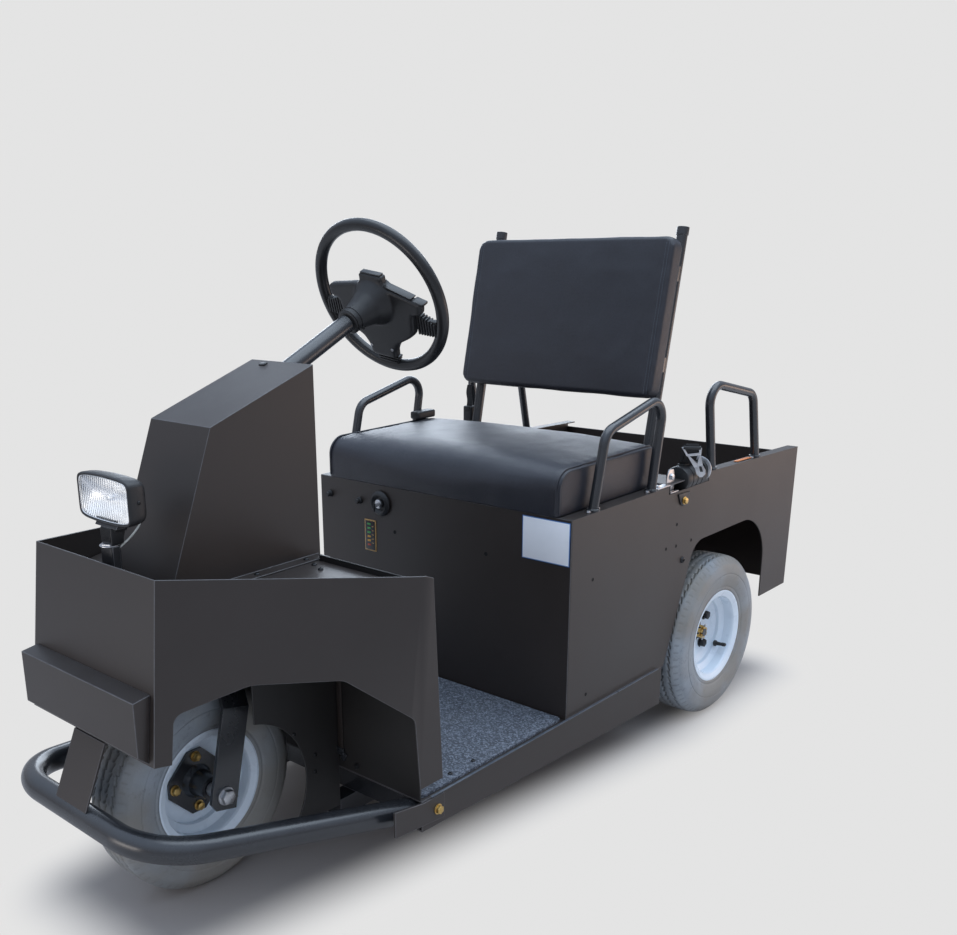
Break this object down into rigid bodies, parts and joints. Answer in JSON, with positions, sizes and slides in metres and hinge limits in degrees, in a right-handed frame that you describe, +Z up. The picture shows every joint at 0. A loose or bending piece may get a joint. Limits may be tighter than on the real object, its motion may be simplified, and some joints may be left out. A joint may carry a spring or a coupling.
{
  "type": "electric utility vehicle",
  "caption": "Three-wheeled electric utility cart: open sheet-metal body, bench seat, rear cargo box, steered front wheel and round-tube bumper.",
  "frame": {"origin": "centre of the vehicle's bounding box, on the ground", "axes": "+Z up; the vehicle drives towards -Y and its left side is +X"},
  "size_m": [0.778, 2.0374, 1.2212],
  "materials": {
    "body_paint": "satin black powder coat on folded sheet",
    "frame_paint": "satin black paint on tube and bar",
    "floor_mat": "grey-blue speckled rubber",
    "black_plastic": "moulded, lightly grained",
    "wheel_rim_plastic": "smooth moulded grip",
    "lens": "clear moulded lens",
    "casting": "black-washed casting",
    "motor_case": "painted motor case",
    "battery_case": "moulded battery cases",
    "upholstery": "black grained vinyl",
    "bright_steel": "plated",
    "bare_steel": "zinc-plated",
    "rim_paint": "gloss white paint",
    "lead_wire": "pale insulated wire",
    "tyre": "light grey non-marking rubber"
  },
  "bodies": {
    "chassis": {"floor_pan": "body_paint", "floor_mat": "floor_mat", "chassis_frame": "frame_paint", "front_cowl": "body_paint", "leg_shield": "body_paint", "cowl_deck": "body_paint", "neck_walls": "body_paint", "head_tube": "frame_paint", "bumper_box": "body_paint", "bumper_tube": "frame_paint", "bumper_mounts": "frame_paint", "steering_tower": "body_paint", "tower_cover": "body_paint", "lamp_bracket": "frame_paint", "lamp_housing": "black_plastic", "lamp_lens": "lens", "lamp_lead": "lead_wire", "column_jacket": "frame_paint", "side_panel_left": "body_paint", "side_panel_right": "body_paint", "axle_housing": "casting", "drive_motor": "motor_case", "seat_box_front": "body_paint", "seat_deck": "body_paint", "battery_pack": "battery_case", "cargo_front_wall": "body_paint", "cargo_floor": "body_paint", "cargo_rear_wall": "body_paint", "seat_cushion": "upholstery", "backrest_pad": "upholstery", "backrest_frame": "frame_paint", "hip_restraints": "frame_paint", "cargo_hoops": "frame_paint", "belt_retractor": "black_plastic", "belt_tongue": "bright_steel", "belt_buckles": "black_plastic", "key_switch": "bright_steel", "foot_pedals": "frame_paint"},
    "steering_wheel": {"steering_shaft": "bare_steel", "steering_hub": "black_plastic", "steering_wheel": "wheel_rim_plastic"},
    "fork": {"fork_legs": "frame_paint", "fork_crown": "frame_paint", "front_axle": "bare_steel"},
    "front_wheel": {"front_hub": "frame_paint", "front_rim": "rim_paint", "front_tyre": "tyre"},
    "rear_wheel_left": {"rear_hub_left": "frame_paint", "rear_rim_left": "rim_paint", "rear_tyre_left": "tyre"},
    "rear_wheel_right": {"rear_hub_right": "frame_paint", "rear_rim_right": "rim_paint", "rear_tyre_right": "tyre"}
  },
  "joints": [
    {"name": "fork_turn", "type": "hinge", "parent": "chassis", "child": "fork", "pos_m": [0, -0.74725, 0.204], "axis": [0, 0.225, 0.9744], "range_deg": [-50, 50]},
    {"name": "steering_wheel_turn", "type": "hinge", "parent": "chassis", "child": "steering_wheel", "pos_m": [0, -0.20625, 1.068], "axis": [0, 0.9078, 0.4195], "range_deg": [-50, 50]},
    {"name": "front_wheel_roll", "type": "hinge", "parent": "fork", "child": "front_wheel", "pos_m": [0, -0.74725, 0.204], "axis": [1, 0, 0], "continuous": true},
    {"name": "rear_wheel_left_roll", "type": "hinge", "parent": "chassis", "child": "rear_wheel_left", "pos_m": [0.33, 0.59575, 0.204], "axis": [1, 0, 0], "continuous": true},
    {"name": "rear_wheel_right_roll", "type": "hinge", "parent": "chassis", "child": "rear_wheel_right", "pos_m": [-0.33, 0.59575, 0.204], "axis": [1, 0, 0], "continuous": true}
  ],
  "couplings": [
    {"joint": "steering_wheel_turn", "follows": "fork_turn", "ratio": 1}
  ]
}
